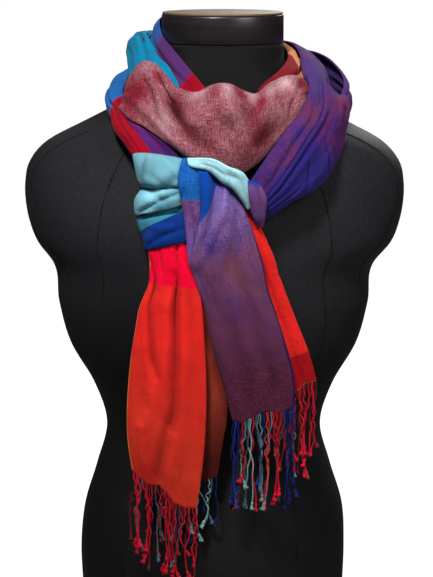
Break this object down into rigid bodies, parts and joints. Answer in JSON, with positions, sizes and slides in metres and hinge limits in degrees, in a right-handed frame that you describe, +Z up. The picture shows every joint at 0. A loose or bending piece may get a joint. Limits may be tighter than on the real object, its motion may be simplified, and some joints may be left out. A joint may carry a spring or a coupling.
{
  "type": "fringed shawl knotted round a limbless dress form",
  "caption": "Colour-block woven shawl with twisted fringe, looped and knotted round the neck of a jersey-covered limbless dress form that stands on its flat base.",
  "frame": {"origin": "middle of the dress form's flat base, on the surface it stands on", "axes": "+Z up the form, -Y out of its front, +X to the right of someone who faces its front"},
  "size_m": [0.3748, 0.2539, 0.65],
  "materials": {
    "form_jersey": "fine black jersey, matt",
    "cap_gloss": "polished black",
    "cloth_cyan": "plain weave, soft sheen",
    "cloth_teal": "plain weave, soft sheen",
    "cloth_blue": "plain weave, soft sheen",
    "cloth_violet": "shot plain weave, soft sheen",
    "cloth_plum": "shot plain weave, soft sheen",
    "cloth_maroon": "shot plain weave with a pale weft, cloudy sheen",
    "cloth_orange_red": "plain weave, matt",
    "cloth_rust": "shot plain weave, matt",
    "yarn_crimson": "twisted yarn",
    "yarn_teal": "twisted yarn",
    "yarn_blue": "twisted yarn"
  },
  "bodies": {
    "root": {"form_torso": "form_jersey", "neck_cap": "cap_gloss", "wrap_inner": "cloth_violet", "wrap_left": "cloth_cyan", "under_layer_left": "cloth_plum", "cowl_front": "cloth_maroon", "wrap_right_inner": "cloth_violet", "wrap_outer": "cloth_blue", "strand_right_outer": "cloth_violet", "knot_wrap_upper": "cloth_teal", "knot_wrap_lower": "cloth_blue", "knot_strand": "cloth_blue", "knot_bridge": "cloth_teal", "knot_end": "cloth_violet", "tail_left_front": "cloth_orange_red", "tail_left_back": "cloth_rust", "tail_right_front": "cloth_plum", "tail_right_edge": "cloth_orange_red", "fringe_left_front": "yarn_crimson", "fringe_left_back": "yarn_teal", "fringe_right_front": "yarn_blue", "fringe_right_edge": "yarn_crimson"}
  },
  "joints": []
}
